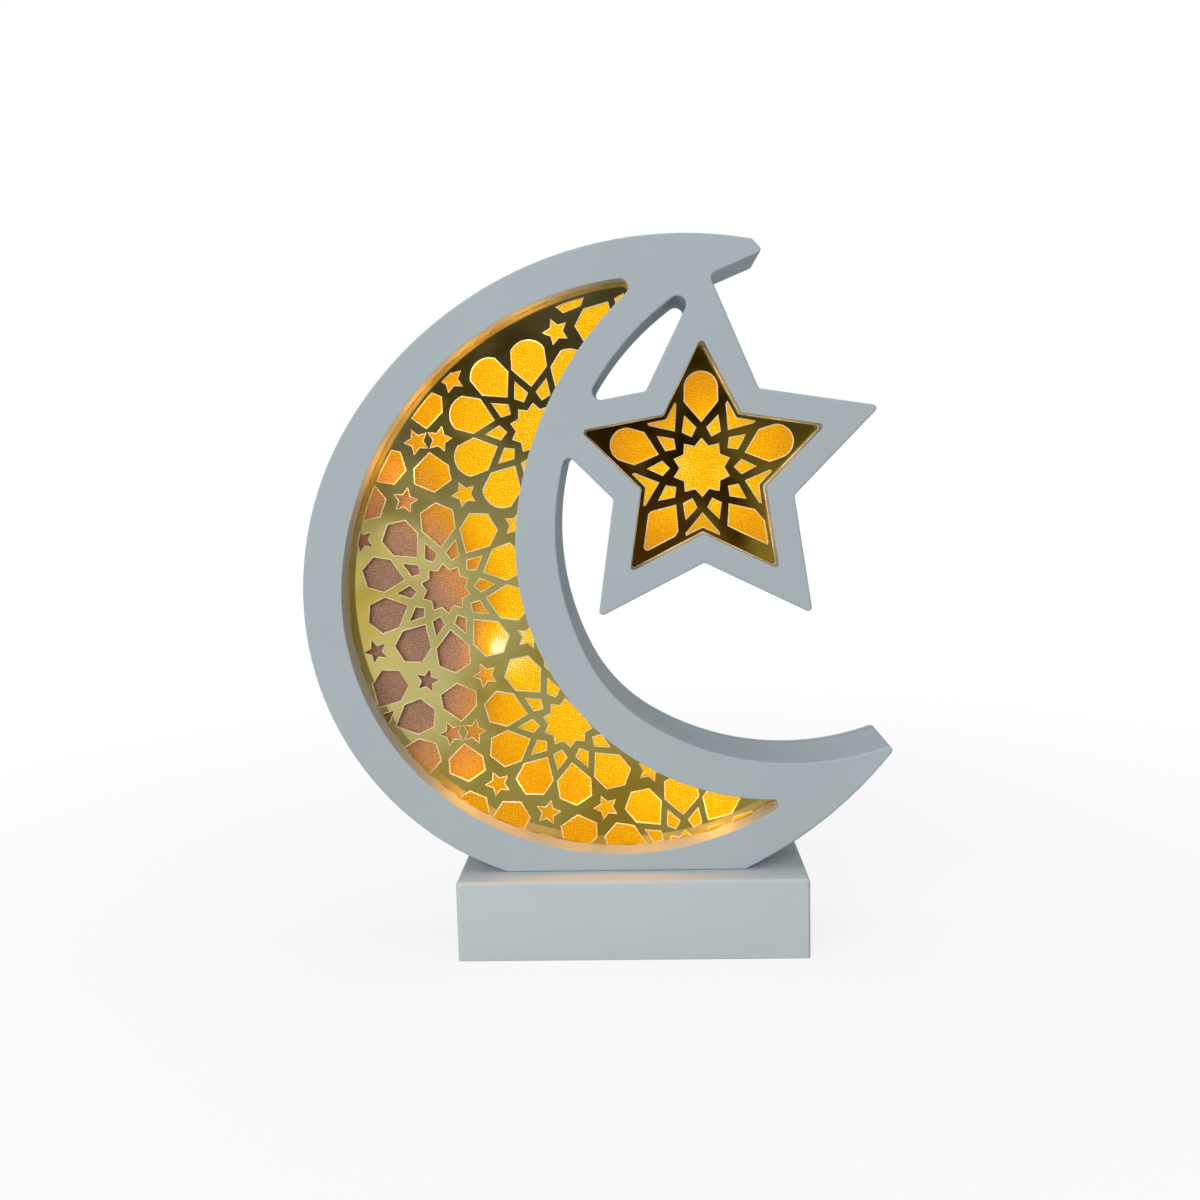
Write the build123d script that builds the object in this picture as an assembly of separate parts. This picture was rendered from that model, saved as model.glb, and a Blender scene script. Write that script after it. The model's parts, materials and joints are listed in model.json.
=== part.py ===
from build123d import *
import os
from math import acos, atan2, cos, degrees, radians, sin, sqrt

# Battery lamp: a crescent with a star, gold lattice panels lit from behind, on a box base.
# X points right, Y points back, Z points up. The origin is the middle of the base's underside.
# Front view points are (x, height above the base's top). All lengths are millimetres.

# Base housing
BASE_W = 95.0
BASE_D = 42.0
BASE_H = 22.0
BASE_WALL = 2.0
BASE_TOP = 2.0
BASE_EDGE = 1.0

# Crescent outline
MOON_DEPTH = 26.0
MOON_LEFT_X = -87.0
FOOT_DROP = 4.7
MOON_LOW_R = 79.7
MOON_MID_R = 86.8
MOON_MID_END = 146.5
MOON_TOP_R = 103.8
MOON_RIGHT_R = 113.5
FOOT_RIGHT_X = 31.0
BAY_LOW_X = 44.8
BAY_LOW_Z = 103.1
BAY_LOW_R = 73.6
BAY_LOW_JOIN = 238.5
BAY_MID_R = 45.1
BAY_MID_JOIN = 206.5
BAY_UP_R = 74.6
HOOK_X = 34.2
HOOK_TIP_OUT = 3.0
HOOK_TIP_DROP = 3.2
HOOK_ROOT_ANGLE = 117.5
HORN_ANGLE = -70.5
HORN_TIP_X = 71.4
HORN_TIP_Z = 33.2

# Star outline, with its top arm drawn out into the crescent
STAR_X = 21.0
STAR_Z = 109.3
STAR_R = 48.5
STAR_ARMS = 5
STAR_NOTCH_R = 25.0
STAR_TOP_X = 22.3
STAR_TOP_Z = 161.0

# Rounding of the outline
TIP_ROUND = 1.0
CORNER_ROUND = 1.6
GAP_ROUND = 2.2

# Moon window
MOON_RIM = 10.5
WINDOW_TOP_R = 86.0
WINDOW_TOP_JOIN = 173.0
WINDOW_LOW_R = 81.0
WINDOW_LOW_JOIN = 246.5
WINDOW_BAY_X = 39.8
WINDOW_BAY_Z = 88.5
WINDOW_BAY_R = 69.0
WINDOW_BAY_JOIN = 171.4
WINDOW_NECK_R = 94.0
WINDOW_TOP_ROUND = 2.2
WINDOW_TIP_ROUND = 1.6

# Star window
STAR_WINDOW_R = 33.8
STAR_WINDOW_NOTCH_R = 17.4
STAR_WINDOW_ROUND = 0.9

# Shell walls
SHELL_WALL = 2.0
FACE_T = 2.0
SKIRT_T = 2.0
RECESS = 7.6
COVER_T = 2.6
FRONT_EDGE = 0.5

# Gold sheet, diffuser and light box
SHEET_T = 1.5
SHEET_BORDER = 2.0
DIFFUSER_T = 0.8
BOX_WALL = 1.6
BOX_OUTSET = 0.3
LIP_T = 1.0
LIP_H = 3.0
LIP_GAP = 0.2

# Moon lattice: ten-fold rosettes on a rhombic net
ROSETTE_X = -49.5
ROSETTE_Z = 78.0
ROSETTE_PITCH = 50.0
ROSETTE_TURN = -49.5
ROSETTE_FOLD = 10
ROSETTES = [(0, 0), (1, 0), (2, 0), (0, 1), (0, 2), (-1, 0), (0, -1), (1, -1)]
BOW_TIES = [(0, 0), (1, 0), (-1, 1), (0, 1)]
ARCHED_ROSETTE = (0, 1)
CORE_R = 6.9
CORE_NOTCH_R = 5.3
KITE_IN_R = 7.9
KITE_MID_R = 9.7
KITE_OUT_R = 13.7
KITE_HALF_W = 1.9
PETAL_TIP_R = 11.4
PETAL_SHOULDER_R = 16.3
PETAL_SHOULDER_W = 4.65
PETAL_END_R = 21.2
PETAL_END_W = 4.4
PETAL_APEX_R = 23.6
BOW_TIP_R = 3.2
BOW_SHOULDER_R = 7.2
BOW_SHOULDER_W = 4.7
BOW_END_R = 11.2
BOW_END_W = 5.0
BOW_APEX_R = 14.0
SMALL_STAR_R = 3.5
SMALL_STAR_NOTCH_R = 1.7
PATTERN_OVERRUN = 0.8
PATTERN_RIGHT = 1.8
PATTERN_DROP = 2.4
LEAST_CUT_AREA = 12.0
WHOLE_SHARE = 0.65

# Star lattice: one rosette
STAR_CORE_R = 7.8
STAR_CORE_NOTCH_R = 5.9
STAR_KITE_IN_R = 8.7
STAR_KITE_MID_R = 10.6
STAR_KITE_OUT_R = 14.6
STAR_PETAL_TIP_R = 12.2
STAR_PETAL_SHOULDER_R = 17.6
STAR_PETAL_SHOULDER_W = 4.5
STAR_PETAL_END_R = 21.8
STAR_PETAL_END_W = 4.4
STAR_PETAL_APEX_R = 25.5
STAR_LOW_ARMS = (2, 3)
STAR_LOW_PETAL_END_R = 24.0
STAR_LOW_PETAL_END_W = 5.0
STAR_LOW_PETAL_APEX_R = 29.0
STAR_LOW_BORDER_RIGHT = 2.1
STAR_LOW_BORDER_RISE = 2.5
STAR_MARGIN = 1.3
STAR_LEAST_CUT_AREA = 8.0

# LED boards
BOARD_T = 1.2
BOARD_W = 7.0
BOARD_RIGHT = 50.9
BOARD_RISE = 20.4
BOARD_R = 84.0
BOARD_START = 143.0
BOARD_END = 250.0
LED_START = 147.0
LED_STEP = 18.6
LED_COUNT = 6
LED_L = 3.5
LED_W = 2.8
LED_H = 1.9
STAR_BOARD_R = 13.0
STAR_LED_R = 6.5
STAR_LED_COUNT = 3
RESISTOR_L = 3.2
RESISTOR_W = 1.6
RESISTOR_H = 0.7
RESISTOR_ANGLE = 212.0

# Screws
SCREW_D = 2.2
SCREW_L = 10.0
HEAD_D = 4.0
HEAD_H = 1.6
HEAD_SINK = 0.2
CROSS_L = 2.4
CROSS_W = 0.6
CROSS_DEPTH = 0.8
THREAD_GAP = 0.05
HOLE_GAP = 0.2
BOSS_R = 2.7
BOSS_INSET = 4.2
UPPER_SCREW_ANGLE = 128.0
LOWER_SCREW_ANGLE = 228.0
HOOK_SCREW_INSET = 7.2
HOOK_SCREW_DROP = 4.3
HORN_SCREW_X = 55.0
HORN_SCREW_Z = 23.0
STAR_SCREW_R = 41.2
STAR_SCREW_ARMS = (-1, -2, 2)

# Foot joint
FOOT_SCREW_INSET = 6.2
FOOT_SCREW_L = 7.0
FOOT_BOSS_H = 5.4
FOOT_BOSS_R = 3.0

# Battery cells and their tray
CELL_D = 14.5
CELL_L = 50.5
NUB_D = 5.5
NUB_L = 1.5
CELL_GAP = 0.6
CELL_PLAY = 0.4
SPRING_DEPTH = 4.0
FLAT_DEPTH = 1.0
TRAY_WALL = 1.5
TRAY_END_GAP = 2.5
TRAY_END_H = 16.0
TRAY_SIDE_H = 11.0
CONTACT_T = 0.4
CONTACT_W = 10.0
CONTACT_RISE = 1.5
LEAF_W = 5.0
LEAF_SPAN = 9.0
BUMP_D = 3.0

# Base plate and battery door
PLATE_T = 1.8
PLATE_GAP = 0.2
DOOR_LIFT = 0.5
DOOR_T = 1.6
DOOR_GAP = 0.3
DOOR_SET = 0.4
FLANGE_T = 0.7
FLANGE_W = 1.0
RAIL_T = 1.2
RAIL_MARGIN = 0.5
TONGUE_W = 6.0
TONGUE_L = 1.2
TONGUE_Y = 12.0
PLATE_BOSS_INSET = 4.0
GRIP_W = 12.0
GRIP_T = 0.8
GRIP_DEPTH = 0.6
GRIP_PITCH = 2.0
GRIP_COUNT = 3

# Slide switch on the back wall
SWITCH_Z = 11.0
SWITCH_L = 13.0
SWITCH_D = 6.0
SWITCH_H = 7.0
SWITCH_TRAVEL = 3.5
NOB_L = 4.0
NOB_H = 3.0
NOB_OUT = 1.2
NOB_FOOT_T = 1.2
NOB_FOOT_H = 4.6
NOB_GAP = 0.3

# Wires
WIRE_D = 1.2
WIRE_BEND = 2.4
WIRE_SEAT = 0.05
WIRE_HOLE_D = 5.2
FEED_OFF = 1.6
RETURN_OFF = 3.8
SUPPLY_OFF = -4.0
FEED_TOP = 46.0
STAR_WIRE_Z = (119.5, 121.7)
STAR_WIRE_START = -37.0
STAR_WIRE_END = (14.0, 18.5)
CHANNEL_W = 7.0
CHANNEL_GAP = 0.6

# Depth planes of the crescent, front to back
FRONT_Y = -MOON_DEPTH / 2
BACK_Y = MOON_DEPTH / 2
SHEET_Y = FRONT_Y + RECESS
DIFFUSER_Y = SHEET_Y + SHEET_T
BOX_Y = DIFFUSER_Y + DIFFUSER_T
SEAM_Y = BACK_Y - COVER_T
BOARD_Y = SEAM_Y - BOARD_T
WIRE_Y = BOARD_Y - WIRE_D / 2 - WIRE_SEAT
CHANNEL_Y = WIRE_Y - WIRE_D / 2 - CHANNEL_GAP

# Heights in the base
DOOR_TOP = DOOR_LIFT + DOOR_T
PLATE_Z = DOOR_TOP + DOOR_GAP
PLATE_TOP = PLATE_Z + PLATE_T
CELL_Z = PLATE_Z + CELL_D / 2
CEILING_Z = BASE_H - BASE_TOP
TRAY_IN_L = CELL_L + SPRING_DEPTH + FLAT_DEPTH
TRAY_IN_W = 2 * CELL_D + CELL_GAP + 2 * CELL_PLAY
CELL_Y = (CELL_D + CELL_GAP) / 2
IN_W = BASE_W - 2 * BASE_WALL
IN_D = BASE_D - 2 * BASE_WALL
WALL_Y = IN_D / 2
TRAY_END_X = IN_W / 2 - TRAY_END_GAP
TRAY_RIGHT = TRAY_END_X - TRAY_WALL
TRAY_LEFT = TRAY_RIGHT - TRAY_IN_L
PLATE_BOSS_X = PLATE_BOSS_INSET - IN_W / 2
PLATE_BOSS_Y = IN_D / 2 - PLATE_BOSS_INSET

# Switch, midway between the plate bosses and the tray, and the wires by it
SWITCH_X = (PLATE_BOSS_X + BOSS_R + TRAY_LEFT - TRAY_WALL) / 2
SUPPLY_X = SWITCH_X + SUPPLY_OFF
FEED_X = SWITCH_X + FEED_OFF
RETURN_X = SWITCH_X + RETURN_OFF
FEED_MID = (FEED_X + RETURN_X) / 2

# Angles of the star and of the lattice
UPWARD = 90.0
STAR_STEP = 360 / STAR_ARMS
ROSETTE_STEP = 360 / ROSETTE_FOLD
NET_ANGLE = 3 * ROSETTE_STEP

# Centres in the front view
STAR = (STAR_X, STAR_Z)
MOON_LEFT_Z = MOON_LOW_R - FOOT_DROP
LOW_CENTRE = (MOON_LEFT_X + MOON_LOW_R, MOON_LEFT_Z)
MID_CENTRE = (MOON_LEFT_X + MOON_MID_R, MOON_LEFT_Z)
BOARD_CENTRE = (LOW_CENTRE[0] + BOARD_RIGHT, LOW_CENTRE[1] + BOARD_RISE)


def polar(centre, radius, angle):
    return (centre[0] + radius * cos(radians(angle)), centre[1] + radius * sin(radians(angle)))


def arc(centre, radius, start, end):
    return CenterArc(centre, radius, start, end - start)


def bearing(centre, point):
    return degrees(atan2(point[1] - centre[1], point[0] - centre[0])) % 360


def slab(profile, front, back):
    """A front view profile, made solid between two depths."""
    plane = Plane(origin=(0, back, BASE_H), x_dir=(1, 0, 0), z_dir=(0, -1, 0))
    return extrude(plane * profile, back - front)


def depth_rod(point, radius, front, back):
    """A round bar along Y at a front view point."""
    return slab(Pos(*point) * Circle(radius), front, back)


def post(x, y, radius, low, high):
    """An upright round bar."""
    return Pos(x, y, low) * Cylinder(radius, high - low, align=(Align.CENTER, Align.CENTER, Align.MIN))


def block(low, high):
    """A box between two corners."""
    size = [b - a for a, b in zip(low, high)]
    middle = [(a + b) / 2 for a, b in zip(low, high)]
    return Pos(*middle) * Box(*size)


def round_corners(profile, points, radius):
    for point in points:
        corner = profile.vertices().sort_by_distance((point[0], point[1], 0))[0]
        profile = fillet(corner, radius)
    return profile


def star_points(centre, tip_r, notch_r, count, turn):
    step = 180 / count
    return [polar(centre, notch_r if i % 2 else tip_r, turn + i * step) for i in range(2 * count)]


def outline(points):
    return make_face(Polyline(*points, close=True))


TOP_CENTRE = polar(MID_CENTRE, MOON_MID_R - MOON_TOP_R, MOON_MID_END)
BAY_LOW = (BAY_LOW_X, BAY_LOW_Z)
BAY_MID = polar(BAY_LOW, BAY_LOW_R - BAY_MID_R, BAY_LOW_JOIN)
BAY_UP = polar(BAY_MID, BAY_MID_R - BAY_UP_R, BAY_MID_JOIN)
HOOK_ANGLE = degrees(acos((HOOK_X - TOP_CENTRE[0]) / MOON_TOP_R))
HOOK_END = polar(TOP_CENTRE, MOON_TOP_R, HOOK_ANGLE)
HOOK_TIP = (HOOK_END[0] + HOOK_TIP_OUT, HOOK_END[1] - HOOK_TIP_DROP)
HORN_TIP = (HORN_TIP_X, HORN_TIP_Z)
FOOT_LEFT_X = LOW_CENTRE[0] - sqrt(MOON_LOW_R ** 2 - MOON_LEFT_Z ** 2)
FOOT_SCREW_X = (FOOT_LEFT_X + FOOT_SCREW_INSET, FOOT_RIGHT_X - FOOT_SCREW_INSET)


def crescent_outline():
    foot_left = (FOOT_LEFT_X, 0)
    foot_right = (FOOT_RIGHT_X, 0)
    low = arc(LOW_CENTRE, MOON_LOW_R, bearing(LOW_CENTRE, foot_left), 180)
    mid = arc(MID_CENTRE, MOON_MID_R, 180, MOON_MID_END)
    top = arc(TOP_CENTRE, MOON_TOP_R, MOON_MID_END, HOOK_ANGLE)
    bay_up = arc(BAY_UP, BAY_UP_R, HOOK_ROOT_ANGLE, BAY_MID_JOIN)
    bay_mid = arc(BAY_MID, BAY_MID_R, BAY_MID_JOIN, BAY_LOW_JOIN)
    bay_low = arc(BAY_LOW, BAY_LOW_R, BAY_LOW_JOIN, 360 + HORN_ANGLE)
    edges = [low, mid, top, Line(top @ 1, HOOK_TIP), Line(HOOK_TIP, bay_up @ 0)]
    edges += [bay_up, bay_mid, bay_low, Line(bay_low @ 1, HORN_TIP)]
    edges += [RadiusArc(HORN_TIP, foot_right, MOON_RIGHT_R), Line(foot_right, low @ 0)]
    return make_face(edges)


def leave(start, end, centre, radius):
    """Where the line from a point inside a circle leaves that circle."""
    dx = end[0] - start[0]
    dz = end[1] - start[1]
    length = sqrt(dx * dx + dz * dz)
    ux = dx / length
    uz = dz / length
    along = (centre[0] - start[0]) * ux + (centre[1] - start[1]) * uz
    aside = (centre[0] - start[0]) * uz - (centre[1] - start[1]) * ux
    reach = along + sqrt(radius * radius - aside * aside)
    return (start[0] + ux * reach, start[1] + uz * reach)


def body_outline():
    """The crescent and the star in one, with the see-through gap between them."""
    points = star_points(STAR, STAR_R, STAR_NOTCH_R, STAR_ARMS, UPWARD)
    points[0] = (STAR_TOP_X, STAR_TOP_Z)
    top, upper_left, left, lower_left = points[:4]
    upper_right = points[-1]
    horn_end = polar(BAY_LOW, BAY_LOW_R, HORN_ANGLE)
    gap_corners = [leave(upper_left, end, BAY_UP, BAY_UP_R) for end in (top, left)]
    bay_corners = [leave(lower_left, left, BAY_UP, BAY_UP_R), leave(upper_right, top, BAY_UP, BAY_UP_R)]
    body = crescent_outline() + outline(points)
    body = round_corners(body, points[1::2] + points[4::2], TIP_ROUND)
    body = round_corners(body, gap_corners, GAP_ROUND)
    body = round_corners(body, bay_corners, CORNER_ROUND)
    return round_corners(body, [HOOK_TIP, HOOK_END, HORN_TIP, horn_end], TIP_ROUND)


def meet(centre, radius, other, other_radius, turn):
    """Where two circles cross, to one side (turn 1 or -1) of the line between their centres."""
    dx = other[0] - centre[0]
    dz = other[1] - centre[1]
    gap = sqrt(dx * dx + dz * dz)
    along = (radius ** 2 - other_radius ** 2 + gap ** 2) / (2 * gap)
    spread = degrees(acos(along / radius))
    return polar(centre, radius, degrees(atan2(dz, dx)) + turn * spread)


def moon_window(outset):
    """The crescent's window, its edge moved outward all round."""
    left_r = MOON_LOW_R - MOON_RIM
    top_c = polar(LOW_CENTRE, left_r - WINDOW_TOP_R, WINDOW_TOP_JOIN)
    low_c = polar(LOW_CENTRE, left_r - WINDOW_LOW_R, WINDOW_LOW_JOIN)
    bay_c = (WINDOW_BAY_X, WINDOW_BAY_Z)
    neck_c = polar(bay_c, WINDOW_BAY_R - WINDOW_NECK_R, WINDOW_BAY_JOIN)
    top_r = WINDOW_TOP_R + outset
    low_r = WINDOW_LOW_R + outset
    bay_r = WINDOW_BAY_R - outset
    neck_r = WINDOW_NECK_R - outset
    top = meet(top_c, top_r, neck_c, neck_r, 1)
    tip = meet(low_c, low_r, bay_c, bay_r, -1)
    window = make_face([
        arc(top_c, top_r, bearing(top_c, top), WINDOW_TOP_JOIN),
        arc(LOW_CENTRE, left_r + outset, WINDOW_TOP_JOIN, WINDOW_LOW_JOIN),
        arc(low_c, low_r, WINDOW_LOW_JOIN, bearing(low_c, tip)),
        arc(bay_c, bay_r, bearing(bay_c, tip), WINDOW_BAY_JOIN),
        arc(neck_c, neck_r, WINDOW_BAY_JOIN, bearing(neck_c, top)),
    ])
    window = round_corners(window, [top], WINDOW_TOP_ROUND + outset)
    return round_corners(window, [tip], WINDOW_TIP_ROUND + outset)


def star_window(outset):
    """The star's window, its edge moved outward all round."""
    tip_r = STAR_WINDOW_R
    notch_r = STAR_WINDOW_NOTCH_R
    half_step = radians(STAR_STEP / 2)
    edge = sqrt(tip_r ** 2 + notch_r ** 2 - 2 * tip_r * notch_r * cos(half_step))
    edge_r = tip_r * notch_r * sin(half_step) / edge
    scale = (edge_r + outset) / edge_r
    points = star_points(STAR, tip_r * scale, notch_r * scale, STAR_ARMS, UPWARD)
    return round_corners(outline(points), points, STAR_WINDOW_ROUND * scale)


def ahead(centre, angle, forward, side):
    """A point some way forward along a bearing and some way to its left."""
    return polar(polar(centre, forward, angle), side, angle + 90)


def petal(centre, angle, sizes, arched):
    """A pointed six-sided opening whose outer end is a point or an arch."""
    tip_r, shoulder_r, shoulder_w, end_r, end_w, apex_r = sizes
    tip = ahead(centre, angle, tip_r, 0)
    apex = ahead(centre, angle, apex_r, 0)
    left = [ahead(centre, angle, shoulder_r, shoulder_w), ahead(centre, angle, end_r, end_w)]
    right = [ahead(centre, angle, shoulder_r, -shoulder_w), ahead(centre, angle, end_r, -end_w)]
    if not arched:
        return outline([tip, *left, apex, *reversed(right)])
    sides = Polyline(left[1], left[0], tip, right[0], right[1])
    return make_face([sides, ThreePointArc(right[1], apex, left[1])])


def kite(centre, angle, in_r, mid_r, out_r):
    corners = [(in_r, 0), (mid_r, KITE_HALF_W), (out_r, 0), (mid_r, -KITE_HALF_W)]
    return outline([ahead(centre, angle, forward, side) for forward, side in corners])


def rosette(centre, turn, core, kites, petal_sizes, arched):
    """A ten-point star ringed by ten kites and ten petals."""
    openings = [outline(star_points(centre, *core, ROSETTE_FOLD, turn))]
    for i in range(ROSETTE_FOLD):
        openings.append(petal(centre, turn + i * ROSETTE_STEP, petal_sizes, arched))
        openings.append(kite(centre, turn + (i + 0.5) * ROSETTE_STEP, *kites))
    return openings


MOON_CORE = (CORE_R, CORE_NOTCH_R)
MOON_KITES = (KITE_IN_R, KITE_MID_R, KITE_OUT_R)
MOON_PETAL = (PETAL_TIP_R, PETAL_SHOULDER_R, PETAL_SHOULDER_W, PETAL_END_R, PETAL_END_W, PETAL_APEX_R)
BOW_PETAL = (BOW_TIP_R, BOW_SHOULDER_R, BOW_SHOULDER_W, BOW_END_R, BOW_END_W, BOW_APEX_R)
STAR_CORE = (STAR_CORE_R, STAR_CORE_NOTCH_R)
STAR_KITES = (STAR_KITE_IN_R, STAR_KITE_MID_R, STAR_KITE_OUT_R)
STAR_PETAL = (STAR_PETAL_TIP_R, STAR_PETAL_SHOULDER_R, STAR_PETAL_SHOULDER_W,
              STAR_PETAL_END_R, STAR_PETAL_END_W, STAR_PETAL_APEX_R)
STAR_LOW_PETAL = (STAR_PETAL_TIP_R, STAR_PETAL_SHOULDER_R, STAR_PETAL_SHOULDER_W,
                  STAR_LOW_PETAL_END_R, STAR_LOW_PETAL_END_W, STAR_LOW_PETAL_APEX_R)


def net_point(i, j):
    """A point of the rhombic net that carries the rosettes."""
    along = polar((ROSETTE_X, ROSETTE_Z), i * ROSETTE_PITCH, ROSETTE_TURN)
    return polar(along, j * ROSETTE_PITCH, ROSETTE_TURN + NET_ANGLE)


def moon_openings():
    openings = []
    star_centres = []
    vertex_r = ROSETTE_PITCH / 2 / cos(radians(ROSETTE_STEP / 2))
    for cell in ROSETTES:
        centre = net_point(*cell)
        arched = cell == ARCHED_ROSETTE
        openings += rosette(centre, ROSETTE_TURN, MOON_CORE, MOON_KITES, MOON_PETAL, arched)
        for i in range(ROSETTE_FOLD):
            angle = ROSETTE_TURN + (i + 0.5) * ROSETTE_STEP
            spot = polar(centre, vertex_r, angle)
            if all(abs(spot[0] - x) + abs(spot[1] - z) > SMALL_STAR_R for x, z in star_centres):
                star_centres.append(spot)
                points = star_points(spot, SMALL_STAR_R, SMALL_STAR_NOTCH_R, STAR_ARMS, angle + 180)
                openings.append(outline(points))
    for i, j in BOW_TIES:
        centre = net_point(i + 0.5, j - 0.5)
        for angle in (ROSETTE_TURN - ROSETTE_STEP, ROSETTE_TURN - ROSETTE_STEP + 180):
            openings.append(petal(centre, angle, BOW_PETAL, False))
    return openings


def lattice(window, region, openings, least_area):
    """A gold sheet, a border larger than its window, with the openings that fall in a region.

    Where the region's edge cuts an opening, what remains is left out if it is too small.
    """
    holes = []
    for opening in openings:
        for piece in (region & opening).faces():
            if piece.area > min(least_area, WHOLE_SHARE * opening.area):
                holes.append(piece.outer_wire())
    sheet = Face(window(SHEET_BORDER).face().outer_wire(), holes)
    return slab(sheet, SHEET_Y, DIFFUSER_Y)


def moon_lattice():
    wide = moon_window(PATTERN_OVERRUN)
    region = wide & Pos(PATTERN_RIGHT, -PATTERN_DROP) * wide
    return lattice(moon_window, region, moon_openings(), LEAST_CUT_AREA)


def star_openings(region):
    """The star's rosette; the petals of its lower arms run on to a wider border."""
    openings = rosette(STAR, UPWARD, STAR_CORE, STAR_KITES, STAR_PETAL, True)
    low_region = region & Pos(STAR_LOW_BORDER_RIGHT, STAR_LOW_BORDER_RISE) * region
    for arm in STAR_LOW_ARMS:
        angle = UPWARD + arm * STAR_STEP
        spot = Vector(*polar(STAR, STAR_PETAL_SHOULDER_R, angle))
        openings = [each for each in openings if (each.center() - spot).length > STAR_PETAL_SHOULDER_W]
        openings += (low_region & petal(STAR, angle, STAR_LOW_PETAL, False)).faces()
    return openings


def star_lattice():
    region = star_window(-STAR_MARGIN)
    return lattice(star_window, region, star_openings(region), STAR_LEAST_CUT_AREA)


def diffuser(window):
    return slab(window(SHEET_BORDER), DIFFUSER_Y, BOX_Y)


def cover_screw_points():
    left = (MOON_LEFT_X + BOSS_INSET, MOON_LEFT_Z)
    upper = polar(TOP_CENTRE, MOON_TOP_R - BOSS_INSET, UPPER_SCREW_ANGLE)
    lower = polar(LOW_CENTRE, MOON_LOW_R - BOSS_INSET, LOWER_SCREW_ANGLE)
    hook_angle = degrees(acos((HOOK_X - HOOK_SCREW_INSET - TOP_CENTRE[0]) / MOON_TOP_R))
    hook = polar(TOP_CENTRE, MOON_TOP_R - HOOK_SCREW_DROP, hook_angle)
    star_tips = [polar(STAR, STAR_SCREW_R, UPWARD + arm * STAR_STEP) for arm in STAR_SCREW_ARMS]
    return [left, upper, lower, hook, (HORN_SCREW_X, HORN_SCREW_Z)] + star_tips


def screw(length):
    """A pan head screw, head upward, with its seat at the origin."""
    body = post(0, 0, SCREW_D / 2, -length, 0) + post(0, 0, HEAD_D / 2, 0, HEAD_H)
    long_cut = Pos(0, 0, HEAD_H) * Box(CROSS_L, CROSS_W, 2 * CROSS_DEPTH)
    return body - long_cut - Rot(0, 0, 90) * long_cut


def front_shell(body):
    blank = slab(body, FRONT_Y, SEAM_Y)
    blank = fillet(blank.faces().sort_by(Axis.Y)[0].edges(), FRONT_EDGE)
    bosses = [depth_rod(point, BOSS_R, FRONT_Y + FACE_T / 2, SEAM_Y) for point in cover_screw_points()]
    foot_low = BASE_H + SHELL_WALL / 2
    foot_bosses = [post(x, 0, FOOT_BOSS_R, foot_low, BASE_H + FOOT_BOSS_H) for x in FOOT_SCREW_X]
    skirts = [slab(window(SKIRT_T), FRONT_Y + FACE_T / 2, SHEET_Y) for window in (moon_window, star_window)]
    hollow = slab(offset(body, -SHELL_WALL), FRONT_Y + FACE_T, SEAM_Y)
    hollow -= bosses + foot_bosses + skirts
    thread_r = SCREW_D / 2 + THREAD_GAP
    cuts = [slab(window(0), FRONT_Y, SHEET_Y) for window in (moon_window, star_window)]
    cuts += [depth_rod(point, thread_r, SEAM_Y - SCREW_L, SEAM_Y) for point in cover_screw_points()]
    cuts += [post(x, 0, thread_r, BASE_H, BASE_H + FOOT_BOSS_H) for x in FOOT_SCREW_X]
    cuts.append(post(FEED_MID, WIRE_Y, WIRE_HOLE_D / 2, BASE_H, BASE_H + 2 * SHELL_WALL))
    return blank - hollow - cuts


def rear_cover(body):
    lip_in = SHELL_WALL + LIP_GAP
    lip = slab(offset(body, -lip_in) - offset(body, -lip_in - LIP_T), SEAM_Y - LIP_H, SEAM_Y)
    lip -= [depth_rod(point, BOSS_R + LIP_GAP, SEAM_Y - LIP_H, SEAM_Y) for point in cover_screw_points()]
    cover = slab(body, SEAM_Y, BACK_Y) + lip
    for window in (moon_window, star_window):
        cover += slab(window(BOX_OUTSET + BOX_WALL) - window(BOX_OUTSET), BOX_Y, SEAM_Y)
    seat = BACK_Y - HEAD_H - HEAD_SINK
    cuts = [depth_rod(point, SCREW_D / 2 + HOLE_GAP, SEAM_Y, BACK_Y) for point in cover_screw_points()]
    cuts += [depth_rod(point, HEAD_D / 2 + HOLE_GAP, seat, BACK_Y) for point in cover_screw_points()]
    half = CHANNEL_W / 2
    cuts.append(block((FEED_MID - half, CHANNEL_Y, BASE_H), (FEED_MID + half, SEAM_Y, BASE_H + FEED_TOP)))
    star_z = BASE_H + sum(STAR_WIRE_Z) / 2
    star_edge = STAR_X - STAR_BOARD_R
    cuts.append(block((STAR_WIRE_START, CHANNEL_Y, star_z - half), (star_edge, SEAM_Y, star_z + half)))
    return cover - cuts


def cover_screws():
    seat = BACK_Y - HEAD_H - HEAD_SINK
    upright = Rot(-90, 0, 0) * screw(SCREW_L)
    return [Pos(x, seat, BASE_H + z) * upright for x, z in cover_screw_points()]


def moon_board():
    outer = arc(BOARD_CENTRE, BOARD_R + BOARD_W / 2, BOARD_START, BOARD_END)
    inner = arc(BOARD_CENTRE, BOARD_R - BOARD_W / 2, BOARD_START, BOARD_END)
    strip = make_face([outer, inner, Line(outer @ 0, inner @ 0), Line(outer @ 1, inner @ 1)])
    return slab(strip, BOARD_Y, SEAM_Y)


def chip(centre, radius, angle, length, width, height):
    """A small block on a board's front, its length along the bearing's cross direction."""
    spot = polar(centre, radius, angle)
    return slab(Pos(*spot) * Rot(0, 0, angle) * Rectangle(width, length), BOARD_Y - height, BOARD_Y)


def moon_leds():
    angles = [LED_START + i * LED_STEP for i in range(LED_COUNT)]
    return [chip(BOARD_CENTRE, BOARD_R, angle, LED_L, LED_W, LED_H) for angle in angles]


def star_leds():
    angles = [UPWARD + i * 360 / STAR_LED_COUNT for i in range(STAR_LED_COUNT)]
    return [chip(STAR, STAR_LED_R, angle, LED_L, LED_W, LED_H) for angle in angles]


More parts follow.
